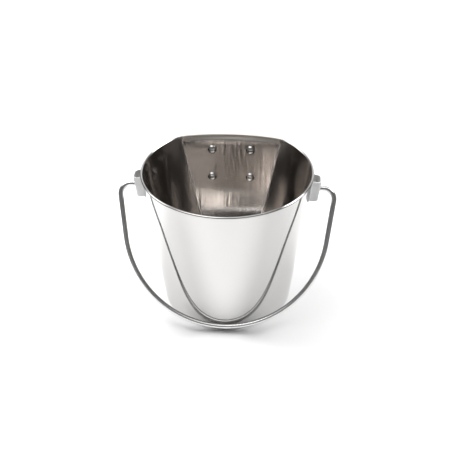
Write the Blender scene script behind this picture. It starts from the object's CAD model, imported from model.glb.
"""Looks of a flat-backed stainless feed pail with a wire bail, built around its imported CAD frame.

Shapes are worked out in millimetres, in the frame of the CAD part, and scaled once when a mesh is made.
The camera, floor, cards and lamps are in metres.
"""

import math

import bmesh
import bpy
import numpy as np
from mathutils import Matrix, Vector


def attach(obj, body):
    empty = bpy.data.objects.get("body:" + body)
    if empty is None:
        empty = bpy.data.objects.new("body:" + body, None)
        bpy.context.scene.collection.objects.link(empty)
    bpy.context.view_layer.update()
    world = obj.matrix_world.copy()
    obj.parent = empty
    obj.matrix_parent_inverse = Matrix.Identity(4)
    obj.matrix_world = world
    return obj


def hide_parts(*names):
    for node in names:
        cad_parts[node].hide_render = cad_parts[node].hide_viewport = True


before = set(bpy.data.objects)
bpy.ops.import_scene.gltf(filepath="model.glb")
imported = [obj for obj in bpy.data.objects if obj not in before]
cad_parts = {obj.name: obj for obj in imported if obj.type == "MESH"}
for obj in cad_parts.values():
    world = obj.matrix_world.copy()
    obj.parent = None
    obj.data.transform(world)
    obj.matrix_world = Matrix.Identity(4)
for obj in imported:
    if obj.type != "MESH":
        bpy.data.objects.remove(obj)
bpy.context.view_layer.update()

MM = 0.001


# ---- Sizes of the pail, in millimetres and radians ----

SHEET_T = 0.8

# Round wall, measured on its inside, and the rolled bead round its rim.
RIM_R = 82.0
BASE_R = 62.0
BEAD_Z = 143.2
BEAD_OUT = 2.38
FLOOR_CORNER_R = 3.0
WALL_LEAN = math.atan((RIM_R - BASE_R) / BEAD_Z)
WALL_LEVEL_T = SHEET_T / math.cos(WALL_LEAN)

# Flat back panel, the folds at its sides, and the ledge where it flares out to the rim.
PANEL_FLOOR_Y = 60.4
PANEL_LEAN = math.radians(3.8)
PANEL_BOW_R = 235.0
FOLD_LOW_R = 0.8
FOLD_HIGH_R = 2.2
RIM_BACK_Y = 72.0
RIM_BACK_R = 195.0
RIM_CORNER_R = 24.0
LEDGE_LOW_Z = 139.0
LEDGE_HIGH_Z = 142.8

# Ears: a hollow crown that stands out between two flanges, with a rounded foot at each side of it.
CROWN_W = 16.0
CROWN_OUT = 9.5
CROWN_EDGE_R = 5.0
EAR_H = 21.6
EAR_W = 28.0
EAR_T = 1.2
EAR_Z = 128.25
EAR_EDGE = 0.3
FLANGE_CORNER_R = 5.0
FOOT_R = 1.6
FOOT_LEAD = 1.0

# Bail: a pin into each ear, a shoulder, a straight side, and the round bottom of the wire.
WIRE_D = 5.2
WIRE_BEVEL = 0.6
PIVOT_Z = 127.3
PIN_GAP = 0.1
PIN_END_GAP = 4.0
SHOULDER_R = 10.5
BAIL_R = 99.1
BAIL_DROP = 39.5
BAIL_CLOSE = math.radians(8.2)
BAIL_LEAN = math.radians(28.7)

# Strap hooks behind the panel: a leg, a bend over the bar's gap, and a free end with a turned-out tip.
HOOK_X = 19.5
HOOK_W = 16.0
HOOK_T = 2.0
HOOK_EDGE = 0.45
HOOK_GAP = 9.0
HOOK_LOW = 90.0
HOOK_BEND = 133.0
HOOK_FREE = 20.0
TIP_R = 7.0
TIP_TURN = math.radians(40)
LEG_END_R = 5.0
HOOK_TURN = math.asin(HOOK_X / PANEL_BOW_R)

# Rivets: how far up the panel they sit, and the (diameter, height) of a head and of a tail.
RIVET_HEIGHTS = {"lower": 98.0, "upper": 128.8}
SHANK_D = 4.4
HEAD_SIZE = (8.6, 2.6)
TAIL_SIZE = (7.6, 1.2)
HEAD_LIFT = 0.04
HEAD_LIP = 0.35


# ---- Studio, in metres and degrees ----

# Azimuths are from the front towards the right.
CAMERA_AZIMUTH = 3.55
CAMERA_ELEVATION = 33.69
CAMERA_ROLL = -0.31
CAMERA_DISTANCE = 1.277
ORBIT_Z = 0.07
AIM_Z = 0.0814
AIM_RIGHT = -0.0024
LENS_MM = 102.1
SENSOR_MM = 36

ROOM_LIGHT = 0.12
# Azimuth, elevation, half angle and strength of each soft box.
SOFT_BOXES = (
    (180, 12, 34, 0.9),
    (-90, 82, 34, 1.05),
    (-90, 74, 14, 2.8),
    (115, 40, 12, 16.0),
    (-115, 40, 12, 5.5),
    (-112, 8, 13, 4.0),
    (112, 8, 13, 2.0))
BOX_EDGE = 4
BOUNCES = 16

FLOOR_REACH = 6.0
FLOOR_GREY = 0.74
CARD_TURNS = (0, 90, -90)
CARD_REACH = 0.30
CARD_HEIGHT = 0.22
CARD_GREY = 0.1

# Lamp at each side: how far out, back and up it is, and the point on the floor that it faces.
LAMP_PLACE = (0.42, 0.12, 0.42)
LAMP_AIM = (0.20, 0.06, 0)
LAMP_SIZE = 0.25
LAMP_POWERS = {"left": 3.2, "right": 1.1}


def direction(azimuth, elevation):
    """Unit vector at an azimuth from the front towards the right, and an elevation."""
    turn, lift = math.radians(azimuth), math.radians(elevation)
    return Vector((math.cos(lift) * math.sin(turn), -math.cos(lift) * math.cos(turn), math.sin(lift)))


def link(thing):
    """Puts an object into the scene."""
    bpy.context.scene.collection.objects.link(thing)


def add_camera():
    """Camera in front of the pail, a little over a third of the way up to overhead."""
    place = Vector((0, 0, ORBIT_Z)) + CAMERA_DISTANCE * direction(CAMERA_AZIMUTH, CAMERA_ELEVATION)
    target = Vector((0, 0, AIM_Z)) + AIM_RIGHT * direction(CAMERA_AZIMUTH + 90, 0)
    data = bpy.data.cameras.new("camera")
    data.sensor_width = SENSOR_MM
    data.lens = LENS_MM
    camera = bpy.data.objects.new("camera", data)
    link(camera)
    look = (target - place).to_track_quat("-Z", "Y").to_matrix().to_4x4()
    roll = Matrix.Rotation(math.radians(CAMERA_ROLL), 4, "Z")
    camera.matrix_world = Matrix.Translation(place) @ look @ roll
    bpy.context.scene.camera = camera


def add_lamp(side, label):
    """Lamp that lights the floor beside and behind the pail, and isn't seen in the steel."""
    name = label + "_light"
    data = bpy.data.lights.new(name, "AREA")
    data.shape = "RECTANGLE"
    data.size = LAMP_SIZE
    data.size_y = LAMP_SIZE
    data.energy = LAMP_POWERS[label]
    lamp = bpy.data.objects.new(name, data)
    mirror = Vector((side, 1, 1))
    place, target = Vector(LAMP_PLACE) * mirror, Vector(LAMP_AIM) * mirror
    lamp.location = place
    lamp.rotation_euler = (target - place).to_track_quat("-Z", "Y").to_euler()
    lamp.visible_glossy = False
    lamp.visible_camera = False
    link(lamp)


def plain_material(name, grey, roughness, specular):
    """Even grey paper."""
    material = bpy.data.materials.new(name)
    material.use_nodes = True
    shader = material.node_tree.nodes["Principled BSDF"]
    shader.inputs["Base Color"].default_value = (grey, grey, grey, 1)
    shader.inputs["Roughness"].default_value = roughness
    shader.inputs["Specular IOR Level"].default_value = specular
    return material


def add_sheet(name, corners, material):
    """One flat face that belongs to the studio and not to the pail."""
    mesh = bpy.data.meshes.new(name)
    mesh.from_pydata(corners, [], [(0, 1, 2, 3)])
    mesh.materials.append(material)
    sheet = bpy.data.objects.new(name, mesh)
    link(sheet)
    return sheet


def add_floor():
    """Pale floor that reaches past the view."""
    reach = FLOOR_REACH
    corners = [(-reach, -reach, 0), (reach, -reach, 0), (reach, reach, 0), (-reach, reach, 0)]
    add_sheet("floor", corners, plain_material("floor_paper", FLOOR_GREY, roughness=0.9, specular=0.1))


def add_card(turn):
    """Dark card that stands on the floor and is seen only in the steel, where it draws the edges."""
    name = f"card_{turn}"
    reach = CARD_REACH
    corners = [
        (-reach, -reach, 0), (reach, -reach, 0),
        (reach, -reach, CARD_HEIGHT), (-reach, -reach, CARD_HEIGHT)]
    spin = Matrix.Rotation(math.radians(turn), 3, "Z")
    paper = plain_material(name, CARD_GREY, roughness=0.5, specular=0.5)
    card = add_sheet(name, [spin @ Vector(corner) for corner in corners], paper)
    card.visible_camera = False
    card.visible_shadow = False
    card.visible_diffuse = False


def add_surroundings():
    """Dim room with soft-edged round boxes of light in it, which the steel mirrors."""
    world = bpy.data.worlds.new("studio")
    bpy.context.scene.world = world
    world.use_nodes = True
    nodes, links = world.node_tree.nodes, world.node_tree.links
    coords = nodes.new("ShaderNodeTexCoord")
    total = None
    for azimuth, elevation, half_angle, strength in SOFT_BOXES:
        toward = nodes.new("ShaderNodeVectorMath")
        toward.operation = "DOT_PRODUCT"
        toward.inputs[1].default_value = direction(azimuth, elevation)
        links.new(coords.outputs["Generated"], toward.inputs[0])
        shade = nodes.new("ShaderNodeMapRange")
        shade.interpolation_type = "SMOOTHSTEP"
        shade.inputs["From Min"].default_value = math.cos(math.radians(half_angle + BOX_EDGE))
        shade.inputs["From Max"].default_value = math.cos(math.radians(half_angle - BOX_EDGE))
        shade.inputs["To Max"].default_value = strength
        links.new(toward.outputs["Value"], shade.inputs["Value"])
        # The first sum adds the room's own light, and each later one adds the sum before it.
        add = nodes.new("ShaderNodeMath")
        add.operation = "ADD"
        add.inputs[1].default_value = ROOM_LIGHT
        links.new(shade.outputs["Result"], add.inputs[0])
        if total:
            links.new(total, add.inputs[1])
        total = add.outputs[0]
    links.new(total, nodes["Background"].inputs["Strength"])
    nodes["Background"].inputs["Color"].default_value = (1, 1, 1, 1)


def add_studio():
    """Floor, surroundings and cards, with enough bounces for steel that mirrors steel."""
    scene = bpy.context.scene
    scene.view_settings.view_transform = "Standard"
    scene.cycles.max_bounces = BOUNCES
    scene.cycles.glossy_bounces = BOUNCES
    add_floor()
    add_surroundings()
    for turn in CARD_TURNS:
        add_card(turn)


# ---- Materials ----

# Stretch of the scratches: round the vessel, up and down its inside, and up and down its back panel.
EVEN_BRUSH = (1, 1, 1)
ROUND_BRUSH = (0.04, 0.04, 1)
UP_BRUSH = (1, 1, 0.008)
PANEL_BRUSH = (1, 0.05, 0.008)

# Spots of each pattern per metre, and of the oxide's across one piece.
SMUDGE_SCALE = 28
WAVE_SCALE = 22
FINE_SCALE = 900
OXIDE_SCALE = 900

# Least share of a steel's and of the oxide's tint, and least and greatest share of a steel's roughness.
TINT_LOW = 0.97
OXIDE_LOW = 0.7
ROUGH_LOW = 0.8
ROUGH_HIGH = 1.3

# Sockets of a Mix node that mixes colours.
MIX_FACTOR, MIX_FIRST, MIX_SECOND = 0, 6, 7
MIX_RESULT = 2


def new_material(name):
    """Material with its nodes, its links and its surface shader."""
    material = bpy.data.materials.new(name)
    material.use_nodes = True
    nodes, links = material.node_tree.nodes, material.node_tree.links
    return material, nodes, links, nodes["Principled BSDF"]


def noise(nodes, scale, detail):
    """Noise pattern of spots, finer for a greater scale."""
    pattern = nodes.new("ShaderNodeTexNoise")
    pattern.inputs["Scale"].default_value = scale
    pattern.inputs["Detail"].default_value = detail
    return pattern


def tint_by(pattern, colour, low_share, nodes, links, shader):
    """Base colour that falls to low_share of itself where the pattern is low."""
    tint = nodes.new("ShaderNodeMix")
    tint.data_type = "RGBA"
    low = [channel * low_share for channel in colour]
    tint.inputs[MIX_FIRST].default_value = (*low, 1)
    tint.inputs[MIX_SECOND].default_value = (*colour, 1)
    links.new(pattern.outputs["Fac"], tint.inputs[MIX_FACTOR])
    links.new(tint.outputs[MIX_RESULT], shader.inputs["Base Color"])


def bump(pattern, height, nodes, links):
    """Relief of the given height, in metres, from a pattern."""
    relief = nodes.new("ShaderNodeBump")
    relief.inputs["Distance"].default_value = height
    links.new(pattern.outputs["Fac"], relief.inputs["Height"])
    return relief


def steel_material(
        name, colour, roughness, grain, wave, brush=EVEN_BRUSH, grain_scale=FINE_SCALE, smear=0.0, edge=1.0):
    """Bare steel: a metal whose roughness and tint vary slightly, with fine scratches and slow waves.

    grain is the height of the fine scratches and wave that of the slow waves, in metres.
    brush stretches the scratches along one direction, as (x, y, z) scales.
    smear draws reflections out up and down, as polishing round the vessel does.
    edge below 1 darkens the steel where it is seen at a grazing angle, which draws its outlines.
    """
    material, nodes, links, shader = new_material(name)
    shader.inputs["Metallic"].default_value = 1.0
    shader.inputs["Specular Tint"].default_value = (edge, edge, edge, 1)
    shader.inputs["Anisotropic"].default_value = smear
    tangent = nodes.new("ShaderNodeTangent")
    tangent.direction_type = "RADIAL"
    tangent.axis = "Z"
    links.new(tangent.outputs["Tangent"], shader.inputs["Tangent"])

    coords = nodes.new("ShaderNodeTexCoord")
    smudge = noise(nodes, SMUDGE_SCALE, detail=4)
    links.new(coords.outputs["Object"], smudge.inputs["Vector"])
    tint_by(smudge, colour, TINT_LOW, nodes, links, shader)
    rough = nodes.new("ShaderNodeMapRange")
    rough.inputs["To Min"].default_value = roughness * ROUGH_LOW
    rough.inputs["To Max"].default_value = roughness * ROUGH_HIGH
    links.new(smudge.outputs["Fac"], rough.inputs["Value"])
    links.new(rough.outputs["Result"], shader.inputs["Roughness"])

    slow = noise(nodes, WAVE_SCALE, detail=1)
    links.new(coords.outputs["Object"], slow.inputs["Vector"])
    stretch = nodes.new("ShaderNodeMapping")
    stretch.inputs["Scale"].default_value = brush
    links.new(coords.outputs["Object"], stretch.inputs["Vector"])
    scratch = noise(nodes, grain_scale, detail=3)
    links.new(stretch.outputs["Vector"], scratch.inputs["Vector"])
    slow_bump = bump(slow, wave, nodes, links)
    fine_bump = bump(scratch, grain, nodes, links)
    links.new(slow_bump.outputs["Normal"], fine_bump.inputs["Normal"])
    links.new(fine_bump.outputs["Normal"], shader.inputs["Normal"])
    return material


def dull_material(name, colour):
    """Dark oxide in a crevice: no shine at all, slightly uneven in tone."""
    material, nodes, links, shader = new_material(name)
    shader.inputs["Roughness"].default_value = 0.9
    shader.inputs["Specular IOR Level"].default_value = 0.0
    tint_by(noise(nodes, OXIDE_SCALE, detail=2), colour, OXIDE_LOW, nodes, links, shader)
    return material


# ---- Mesh helpers ----

WELD = 1e-7


def add_piece(name, points, faces, material, body, nodes, sharp):
    """Makes a mesh piece from millimetre points, smooth except at edges over `sharp` degrees."""
    mesh = bpy.data.meshes.new(name)
    mesh.from_pydata((np.asarray(points) * MM).tolist(), [], faces)
    clean(mesh)
    piece = bpy.data.objects.new(name, mesh)
    link(piece)
    finish_mesh(piece, material, sharp)
    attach(piece, body)
    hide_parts(*nodes)
    return piece


def clean(mesh):
    """Joins double points and turns every face outwards."""
    work = bmesh.new()
    work.from_mesh(mesh)
    bmesh.ops.remove_doubles(work, verts=work.verts, dist=WELD)
    bmesh.ops.recalc_face_normals(work, faces=work.faces)
    work.to_mesh(mesh)
    work.free()


def finish_mesh(piece, material, sharp):
    """Shades a mesh smooth, except at edges over `sharp` degrees, and gives it its one material."""
    piece.data.polygons.foreach_set("use_smooth", [True] * len(piece.data.polygons))
    piece.data.set_sharp_from_angle(angle=math.radians(sharp))
    piece.data.materials.clear()
    piece.data.materials.append(material)


def grid_faces(rows, columns):
    """Quads between neighbouring rows of a grid whose last column joins its first."""
    faces = []
    for r in range(rows - 1):
        for c in range(columns):
            d = (c + 1) % columns
            faces.append((r * columns + c, r * columns + d, (r + 1) * columns + d, (r + 1) * columns + c))
    return faces


def capped_rows(rows):
    """Points and faces of a closed skin through equal rings of points, with a flat fan at each end."""
    rows = [np.asarray(row, float) for row in rows]
    count = len(rows[0])
    points = np.vstack(rows + [rows[0].mean(0), rows[-1].mean(0)])
    faces = grid_faces(len(rows), count)
    first, last = len(rows) * count, len(rows) * count + 1
    top = (len(rows) - 1) * count
    for c in range(count):
        d = (c + 1) % count
        faces.append((first, d, c))
        faces.append((last, top + c, top + d))
    return points, faces


def travel(path):
    """Unit vectors along a path of points."""
    along = np.gradient(path, axis=0)
    return along / np.linalg.norm(along, axis=1)[:, None]


def arc(first, last, count):
    """Angles from first to last, both included."""
    return np.linspace(first, last, count)


# ---- Pail shell ----

ROUND_STEPS = 150
CORNER_STEPS = 12
BACK_STEPS = 30
FLOOR_CORNER_STEPS = 8
WALL_LOW_Z = 8
WALL_ROWS = 24
LEDGE_ROWS = 13
BEAD_ROWS = 40
BEAD_CURL_END = -117

# Rings of the flat floor, as shares of its outline.
FLOOR_SHARES = (0.02, 0.2, 0.4, 0.6, 0.8, 0.95)

# Steps of the corner that make the fold's matt line, and rows of the bead that look like the back below.
FOLD_STEPS = (3, 10)
BACK_BEAD_ROWS = BEAD_ROWS // 3

# Order of the shell's materials.
OUTSIDE, INSIDE, PANEL, FOLD, LEDGE, BEAD = range(6)


def wall_r(z):
    """Radius of the round wall's inside at height z."""
    return BASE_R + (RIM_R - BASE_R) * z / BEAD_Z


def panel_y(z):
    """Y of the back panel's inside at height z."""
    return PANEL_FLOOR_Y / math.cos(PANEL_LEAN) + z * math.tan(PANEL_LEAN)


def outline(round_r, back_r, back_y, corner_r, out):
    """Plan outline of the vessel, moved out by `out`: round arc, corner arc, back arc, corner arc."""
    back_cy = back_y - back_r
    corner_reach = round_r - corner_r
    back_reach = back_r - corner_r
    cy = (corner_reach ** 2 - back_reach ** 2 + back_cy ** 2) / (2 * back_cy)
    cx = math.sqrt(corner_reach ** 2 - cy ** 2)
    start = math.atan2(cy, cx)
    end = math.atan2(cy - back_cy, cx)
    arcs = (
        (0, 0, round_r, -math.pi / 2, start, ROUND_STEPS),
        (cx, cy, corner_r, start, end, CORNER_STEPS),
        (0, back_cy, back_r, end, math.pi / 2, BACK_STEPS))
    half = []
    for x, y, r, a0, a1, steps in arcs:
        for i in range(steps):
            a = a0 + (a1 - a0) * i / steps
            half.append((x + (r + out) * math.cos(a), y + (r + out) * math.sin(a)))
    half.append((0, back_y + out))
    other = [(-x, y) for x, y in half[-2:0:-1]]
    return np.array(half + other)


def ring(z, round_r, back_r, back_y, corner_r, out):
    """Outline of the vessel as points at height z."""
    plan = outline(round_r, back_r, back_y, corner_r, out)
    return np.column_stack([plan, np.full(len(plan), z)])


def wall_ring(z, out=0.0, shape_z=None, inset=0.0):
    """Ring of the wall at height z. Below the ledge the back is the panel, above it the rim.

    out moves the ring out through the sheet, shape_z is the height whose outline it has where that isn't z,
    and inset makes the outline smaller, towards the middle of the floor.
    """
    shape_z = z if shape_z is None else shape_z
    share = min(max((shape_z - LEDGE_LOW_Z) / (LEDGE_HIGH_Z - LEDGE_LOW_Z), 0), 1)
    share = share * share * (3 - 2 * share)
    back_r = PANEL_BOW_R + share * (RIM_BACK_R - PANEL_BOW_R)
    back_y = panel_y(shape_z) + share * (RIM_BACK_Y - panel_y(shape_z))
    fold_r = FOLD_LOW_R + (FOLD_HIGH_R - FOLD_LOW_R) * shape_z / BEAD_Z
    corner_r = fold_r + share * (RIM_CORNER_R - fold_r)
    return ring(z, wall_r(shape_z) - inset, back_r - inset, back_y - inset, corner_r, out)


def floor_rings(z, corner_r, out):
    """Rings from the middle of the floor out to its corner and round it, up to the wall."""
    corner_z = z + corner_r
    corner = []
    for a in arc(0, math.pi / 2 - WALL_LEAN, FLOOR_CORNER_STEPS + 1):
        inset = corner_r / math.cos(WALL_LEAN) - corner_r * math.sin(a)
        corner.append(wall_ring(corner_z - corner_r * math.cos(a), out, corner_z, inset))
    flat = []
    for share in FLOOR_SHARES:
        shrunk = corner[0].copy()
        shrunk[:, :2] *= share
        flat.append(shrunk)
    return flat + corner


def bead_rings():
    """Rings round the rolled bead, from the wall's inside over the top and down to the wall's outside."""
    bead_r = BEAD_OUT / (1 + 1 / math.cos(WALL_LEAN))
    middle = BEAD_OUT - bead_r
    rings = []
    for turn in np.radians(arc(180 - math.degrees(WALL_LEAN), BEAD_CURL_END, BEAD_ROWS)):
        z = BEAD_Z + bead_r * math.sin(turn)
        out = middle + bead_r * math.cos(turn)
        rings.append(ring(z, RIM_R, RIM_BACK_R, RIM_BACK_Y, RIM_CORNER_R, out))
    return rings


def shell_rings():
    """Rings from the middle of the floor inside, up, round the bead and down to the base.

    The second result is how many rows of faces come before the bead.
    """
    levels = list(np.linspace(WALL_LOW_Z, LEDGE_LOW_Z, WALL_ROWS))
    levels += list(np.linspace(LEDGE_LOW_Z, LEDGE_HIGH_Z, LEDGE_ROWS)[1:])
    inside = floor_rings(SHEET_T, FLOOR_CORNER_R, 0) + [wall_ring(z) for z in levels]
    outside = [wall_ring(z, WALL_LEVEL_T) for z in reversed(levels)]
    outside += reversed(floor_rings(0, FLOOR_CORNER_R + SHEET_T, WALL_LEVEL_T))
    return inside + bead_rings() + outside, len(inside) - 1


def shell_look(row, column, z, inside_rows):
    """Which of the shell's materials a face has.

    row counts from the middle of the floor inside, column from the front, and z is the face's height.
    """
    into_corner = column - ROUND_STEPS
    on_panel = into_corner >= CORNER_STEPS / 2
    bead_row = inside_rows + (BACK_BEAD_ROWS if into_corner >= 0 else 0)
    if row >= inside_rows + BEAD_ROWS:
        return OUTSIDE
    if row >= bead_row:
        return BEAD
    if z < SHEET_T * 2:
        return OUTSIDE
    if z >= LEDGE_LOW_Z:
        return LEDGE if on_panel else INSIDE
    if FOLD_STEPS[0] <= into_corner < FOLD_STEPS[1]:
        return FOLD
    return PANEL if on_panel else INSIDE


def add_shell(materials):
    """The vessel: mirror outside and floor, brushed inside and back panel, and a matt line along each fold.

    The ledge over the panel is satin, with the inner side of the bead above it.
    """
    rings, inside_rows = shell_rings()
    points, faces = capped_rows(rings)
    shell = add_piece(
        "pail_shell", points, faces, materials[OUTSIDE], "pail", ["pail_body"], sharp=50)
    for material in materials[INSIDE:]:
        shell.data.materials.append(material)
    columns = len(rings[0])
    for face in shell.data.polygons:
        row, column = divmod(face.index, columns)
        from_front = min(column, columns - 1 - column)
        face.material_index = shell_look(row, from_front, face.center.z / MM, inside_rows)


# ---- Ears ----

EAR_CORNER_POINTS = 12
EAR_FOOT_POINTS = 8
FLANGE_POINTS = 7
EAR_ROWS = 9
EAR_SHARP = 45
BORE_LENGTH = 8
BORE_STEPS = 64


def half_width(h):
    """Half width of the ear's plate at height h, measured along the wall from the ear's middle."""
    into_corner = max(abs(h) - (EAR_H / 2 - FLANGE_CORNER_R), 0)
    return EAR_W / 2 - FLANGE_CORNER_R + math.sqrt(max(FLANGE_CORNER_R ** 2 - into_corner ** 2, 0))


def ear_section(h, wall_x):
    """Middle line of the plate at height h, as (out, across) points with their outward normals.

    It runs from the middle of the crown's face, round the crown's edge, down its side, round the
    foot and along the flange, which follows the wall's curve.
    """
    reach = CROWN_OUT - EAR_T / 2
    side = CROWN_W / 2 - EAR_T / 2
    edge = CROWN_EDGE_R - EAR_T / 2
    middle_r = wall_x + h * math.sin(WALL_LEAN) + EAR_T / 2
    path = [((reach, y), (1, 0)) for y in (0, (side - edge) / 2)]
    for a in arc(0, math.pi / 2, EAR_CORNER_POINTS):
        normal = (math.cos(a), math.sin(a))
        path.append(((reach - edge + edge * normal[0], side - edge + edge * normal[1]), normal))

    def flange(across):
        """Point of the flange so far across, its normal, and its turn round the wall."""
        turn = math.asin(across / middle_r)
        out = math.cos(WALL_LEAN) * (middle_r * math.cos(turn) - middle_r + EAR_T / 2)
        return (out, across), (math.cos(turn), math.sin(turn)), turn

    foot_turn = flange(side + FOOT_R)[2]
    foot_y = side + FOOT_R - FOOT_R * math.sin(foot_turn)
    foot_x = flange(foot_y)[0][0] + FOOT_R * math.cos(foot_turn)
    path.append(((foot_x + FOOT_LEAD, side), (0, 1)))
    for b in arc(0, math.pi / 2 - foot_turn, EAR_FOOT_POINTS):
        normal = (math.sin(b), math.cos(b))
        path.append(((foot_x - FOOT_R * normal[0], side + FOOT_R - FOOT_R * normal[1]), normal))
    end = half_width(h)
    last = end - min(EAR_EDGE, (end - foot_y) / 2)
    for y in list(np.linspace(foot_y, last, FLANGE_POINTS)[1:]) + [end]:
        path.append(flange(y)[:2])
    return path


def ear_heights():
    """Heights of the plate's rows, from its lower end to its upper end, with more round the corners."""
    straight = EAR_H / 2 - FLANGE_CORNER_R
    upper = [straight + FLANGE_CORNER_R * math.sin(a) for a in arc(0, math.pi / 2, EAR_CORNER_POINTS)[:-1]]
    upper = sorted(upper + [EAR_H / 2 - EAR_EDGE, EAR_H / 2])
    return [-h for h in reversed(upper)] + list(np.linspace(-straight, straight, EAR_ROWS)[1:-1]) + upper


def ear_loop(side, h, wall_x):
    """Points round the plate at height h: out along its outer face and back along its inner face."""
    half = ear_section(h, wall_x)
    path = half[::-1] + [((x, -y), (nx, -ny)) for (x, y), (nx, ny) in half[1:]]
    at_end = abs(h) == EAR_H / 2
    loop = []
    for way in (1, -1):
        for i, ((x, y), (nx, ny)) in enumerate(path[::way]):
            at_tip = i in (0, len(path) - 1)
            off = way * (EAR_T / 2 - (EAR_EDGE if at_end or at_tip else 0))
            u, v = x + off * nx, y + off * ny
            loop.append((
                side * (wall_x + u * math.cos(WALL_LEAN) + h * math.sin(WALL_LEAN)), v,
                EAR_Z - u * math.sin(WALL_LEAN) + h * math.cos(WALL_LEAN)))
    return loop


def add_ear(side, label, material):
    """Hat-section strap: a hollow crown between two welded flanges, with the bail's hole through it."""
    wall_x = wall_r(EAR_Z) + WALL_LEVEL_T
    rows = [ear_loop(side, h, wall_x) for h in ear_heights()]
    count = len(rows[0])
    faces = grid_faces(len(rows), count)
    top = (len(rows) - 1) * count
    # Strips between the outer and the inner face close the plate's two ends.
    for i in range(count // 2 - 1):
        j = count - 1 - i
        faces.append((i, i + 1, j - 1, j))
        faces.append((top + i, top + j, top + j - 1, top + i + 1))
    name = label + "_ear"
    ear = add_piece(name + "_plate", np.vstack(rows), faces, material, "pail", [name], EAR_SHARP)
    cut_hole(ear, side * (wall_x + CROWN_OUT), WIRE_D / 2 + PIN_GAP)
    finish_mesh(ear, material, EAR_SHARP)


def cut_hole(piece, x, radius):
    """Bores the bail's hole along X through the outer face of an ear's crown."""
    bore = bmesh.new()
    turn = Matrix.Translation((x * MM, 0, PIVOT_Z * MM)) @ Matrix.Rotation(math.pi / 2, 4, "Y")
    bmesh.ops.create_cone(
        bore, cap_ends=True, segments=BORE_STEPS, radius1=radius * MM, radius2=radius * MM,
        depth=BORE_LENGTH * MM, matrix=turn)
    mesh = bpy.data.meshes.new("bore")
    bore.to_mesh(mesh)
    bore.free()
    cutter = bpy.data.objects.new("bore", mesh)
    link(cutter)
    modifier = piece.modifiers.new("bore", "BOOLEAN")
    modifier.object = cutter
    modifier.solver = "EXACT"
    drilled = bpy.data.meshes.new_from_object(piece.evaluated_get(bpy.context.evaluated_depsgraph_get()))
    piece.modifiers.clear()
    piece.data = drilled
    bpy.data.objects.remove(cutter)


# ---- Bail ----

PIN_POINTS = 6
SHOULDER_POINTS = 24
SIDE_STEPS = 10
BOTTOM_POINTS = 80
WIRE_SIDES = 40


def bail_path():
    """Middle line of the wire in its own plane, (across, away from the pivot), from one pin to the other."""
    reach = BAIL_R + math.sin(BAIL_CLOSE) * BAIL_DROP
    shoulder_x = (reach - SHOULDER_R - math.sin(BAIL_CLOSE) * SHOULDER_R) / math.cos(BAIL_CLOSE)
    pin_x = wall_r(PIVOT_Z) + WALL_LEVEL_T + CROWN_OUT - EAR_T - PIN_END_GAP
    half = [(x, 0.0) for x in np.linspace(pin_x, shoulder_x, PIN_POINTS)[:-1]]
    for a in arc(-math.pi / 2, BAIL_CLOSE, SHOULDER_POINTS):
        half.append((shoulder_x + SHOULDER_R * math.cos(a), SHOULDER_R + SHOULDER_R * math.sin(a)))
    start = np.array(half[-1])
    end = np.array((BAIL_R * math.cos(BAIL_CLOSE), BAIL_DROP + BAIL_R * math.sin(BAIL_CLOSE)))
    half += [tuple(start + (end - start) * i / SIDE_STEPS) for i in range(1, SIDE_STEPS)]
    for a in arc(BAIL_CLOSE, math.pi / 2, BOTTOM_POINTS):
        half.append((BAIL_R * math.cos(a), BAIL_DROP + BAIL_R * math.sin(a)))
    other = [(-x, s) for x, s in half[-2::-1]]
    return np.array(half + other)


def add_bail(material):
    """The wire handle, hanging in front of the pail and resting on its wall, with bevelled pin ends."""
    path = bail_path()
    down = np.array((0, -math.sin(BAIL_LEAN), -math.cos(BAIL_LEAN)))
    across = np.array((1.0, 0, 0))
    middle = np.outer(path[:, 0], across) + np.outer(path[:, 1], down) + (0, 0, PIVOT_Z)
    forward = np.cross(across, down)
    turns = np.linspace(0, 2 * math.pi, WIRE_SIDES, endpoint=False)
    radius = WIRE_D / 2
    end_radius = radius - WIRE_BEVEL
    rows = []
    for i, (place, along) in enumerate(zip(middle, travel(middle))):
        side = np.cross(forward, along)
        circle = np.outer(np.cos(turns), side) + np.outer(np.sin(turns), forward)
        if i == 0:
            rows += [place + end_radius * circle, place + WIRE_BEVEL * along + radius * circle]
        elif i == len(middle) - 1:
            rows += [place - WIRE_BEVEL * along + radius * circle, place + end_radius * circle]
        else:
            rows.append(place + radius * circle)
    points, faces = capped_rows(rows)
    add_piece("bail_wire", points, faces, material, "bail", ["bail_handle"], sharp=50)


# ---- Hooks and rivets ----

LEG_END_POINTS = 14
LEG_RISES = (15, 30)
BEND_POINTS = 25
FREE_POINTS = 5
TIP_POINTS = 16
EDGE_STEPS = 4
DOME_POINTS = 14
LATHE_STEPS = 48

# Radius of the small ring at the middle of a dome, which a fan closes.
POLE_R = 0.02

# The dark rim of a rivet's head: the share of the radius where it starts, and the share of the radius
# above the head's middle where it ends.
DARK_RIM_FROM = 0.80
DARK_RIM_TOP = 0.35


def hook_frame(side):
    """Matrix that turns (across, out through the panel, up along it) at a hook into the part's frame."""
    return (
        Matrix.Translation((0, PANEL_FLOOR_Y, 0)) @ Matrix.Rotation(-PANEL_LEAN, 4, "X")
        @ Matrix.Translation((0, -PANEL_BOW_R, 0)) @ Matrix.Rotation(-side * HOOK_TURN, 4, "Z")
        @ Matrix.Translation((0, PANEL_BOW_R, 0)))


def placed(points, matrix):
    """Points moved by a matrix."""
    return [tuple(matrix @ Vector(p)) for p in points]


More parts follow.
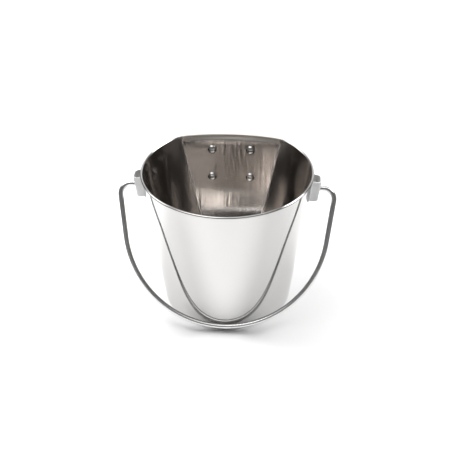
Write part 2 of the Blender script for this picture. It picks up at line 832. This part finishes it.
def strap_path():
    """Middle line of the bent strap, as (out, up) points from the end of its leg to its tip."""
    leg_x = SHEET_T + HOOK_T / 2
    bend_r = HOOK_GAP / 2 + HOOK_T / 2
    free_x = leg_x + 2 * bend_r
    tip_z = HOOK_BEND - HOOK_FREE
    tip_turn_r = TIP_R + HOOK_T / 2
    leg = list(np.linspace(HOOK_LOW, HOOK_LOW + LEG_END_R, LEG_END_POINTS))
    leg += [HOOK_LOW + rise for rise in LEG_RISES]
    path = [(leg_x, z) for z in leg]
    for a in arc(math.pi, 0, BEND_POINTS):
        path.append((leg_x + bend_r + bend_r * math.cos(a), HOOK_BEND + bend_r * math.sin(a)))
    path += [(free_x, z) for z in np.linspace(HOOK_BEND, tip_z, FREE_POINTS)[1:-1]]
    for a in arc(math.pi, math.pi + TIP_TURN, TIP_POINTS):
        path.append((free_x + tip_turn_r + tip_turn_r * math.cos(a), tip_z + tip_turn_r * math.sin(a)))
    return np.array(path)


def strap_section(width):
    """Cross-section of the strap with rounded edges: (across, through)."""
    points = []
    for cx, cy, start in ((1, 1, 0), (-1, 1, 90), (-1, -1, 180), (1, -1, 270)):
        for a in np.radians(arc(start, start + 90, EDGE_STEPS + 1)):
            points.append((
                cx * (width / 2 - HOOK_EDGE) + HOOK_EDGE * math.cos(a),
                cy * (HOOK_T / 2 - HOOK_EDGE) + HOOK_EDGE * math.sin(a)))
    return points


def add_hook(side, label, material):
    """Strap hook behind the back panel, narrowing to a round end at the foot of its leg."""
    path = strap_path()
    steps = np.linalg.norm(np.diff(path, axis=0), axis=1)
    lengths = np.concatenate([[0], np.cumsum(steps)])
    rows = []
    for place, along, length in zip(path, travel(path), lengths):
        cut = max(LEG_END_R - length, 0)
        width = HOOK_W - 2 * (LEG_END_R - math.sqrt(LEG_END_R ** 2 - cut ** 2))
        through = np.array((along[1], -along[0]))
        rows.append([
            (x, place[0] + t * through[0], place[1] + t * through[1])
            for x, t in strap_section(width)])
    points, faces = capped_rows(rows)
    points = placed(points, hook_frame(side))
    name = label + "_hook"
    add_piece(name + "_strap", points, faces, material, "pail", [name], sharp=40)


def dome_profile(size):
    """(radius, height) points of a low dome of (diameter, height), from its middle down to its edge."""
    width, height = size
    r = (width ** 2 / 4 + height ** 2) / (2 * height)
    reach = math.asin(width / 2 / r)
    return [(max(r * math.sin(a), POLE_R), height - r + r * math.cos(a)) for a in arc(0, reach, DOME_POINTS)]


def lathe(profile):
    """Closed skin of (radius, height) points turned round the Y axis."""
    turns = np.linspace(0, 2 * math.pi, LATHE_STEPS, endpoint=False)
    return capped_rows([[(r * math.cos(a), y, r * math.sin(a)) for a in turns] for r, y in profile])


def rivet_profile():
    """(radius, y) points from the middle of the head, over its lip and along the shank, to the tail."""
    flatter = 1 - HEAD_LIP / HEAD_SIZE[1]
    head = [(r, -HEAD_LIFT - HEAD_LIP - y * flatter) for r, y in dome_profile(HEAD_SIZE)]
    lip = [(HEAD_SIZE[0] / 2 - HEAD_LIP, -HEAD_LIFT)]
    tail_y = SHEET_T + HOOK_T
    shank = [(SHANK_D / 2, -HEAD_LIFT), (SHANK_D / 2, tail_y)]
    tail = [(r, tail_y + y) for r, y in reversed(dome_profile(TAIL_SIZE))]
    return head + lip + shank + tail


def add_rivet(side, label, level, material, edge_material):
    """Domed rivet through panel and strap; the head's rim is dark at its sides and below."""
    points, faces = lathe(rivet_profile())
    matrix = hook_frame(side) @ Matrix.Translation((0, 0, RIVET_HEIGHTS[level]))
    name = f"{label}_{level}_rivet"
    rivet = add_piece(
        name + "_body", placed(points, matrix), faces, material, "pail", [name], sharp=50)
    rivet.data.materials.append(edge_material)
    turned_back = matrix.inverted()
    head_r = HEAD_SIZE[0] / 2
    for face in rivet.data.polygons:
        place = turned_back @ (face.center / MM)
        on_rim = math.hypot(place.x, place.z) > DARK_RIM_FROM * head_r
        if place.y < 0 and on_rim and place.z < DARK_RIM_TOP * head_r:
            face.material_index = 1


# ---- The pail's own materials ----

MIRROR_COLOUR = (0.63, 0.622, 0.615)

mirror_steel = steel_material(
    "mirror_steel", MIRROR_COLOUR, roughness=0.06, grain=0.00001, wave=0.0002, brush=ROUND_BRUSH, edge=0.9)
bead_steel = steel_material(
    "bead_steel", MIRROR_COLOUR, roughness=0.06, grain=0.00001, wave=0.0002, brush=ROUND_BRUSH, edge=0.4)
inner_steel = steel_material(
    "inner_steel", (0.64, 0.62, 0.605), roughness=0.09, grain=0.0001, wave=0.0001, brush=UP_BRUSH,
    grain_scale=300, smear=0.75)
panel_steel = steel_material(
    "panel_steel", (0.76, 0.735, 0.71), roughness=0.105, grain=0.0002, wave=0.00003, brush=PANEL_BRUSH,
    grain_scale=400, smear=0.7)
fold_steel = steel_material(
    "fold_steel", (0.97, 0.95, 0.93), roughness=0.95, grain=0.000004, wave=0.0)
ledge_steel = steel_material(
    "ledge_steel", (0.68, 0.635, 0.59), roughness=0.40, grain=0.00001, wave=0.00002)
rivet_steel = steel_material(
    "rivet_steel", (0.68, 0.67, 0.66), roughness=0.02, grain=0.0000005, wave=0.00001)
rivet_edge = dull_material("rivet_edge", (0.02, 0.019, 0.018))
satin_steel = steel_material(
    "satin_steel", (0.90, 0.90, 0.895), roughness=0.68, grain=0.00002, wave=0.0001, edge=0.8)
strap_steel = steel_material(
    "strap_steel", (0.60, 0.60, 0.595), roughness=0.34, grain=0.00002, wave=0.0001, edge=0.6)
wire_steel = steel_material(
    "wire_steel", (0.85, 0.845, 0.84), roughness=0.22, grain=0.00001, wave=0.00005, edge=0.35)


# ---- Build ----

add_camera()
add_studio()
add_shell([mirror_steel, inner_steel, panel_steel, fold_steel, ledge_steel, bead_steel])
add_bail(wire_steel)
for side, label in ((-1, "left"), (1, "right")):
    add_lamp(side, label)
    add_hook(side, label, strap_steel)
    add_ear(side, label, satin_steel)
    for level in RIVET_HEIGHTS:
        add_rivet(side, label, level, rivet_steel, rivet_edge)
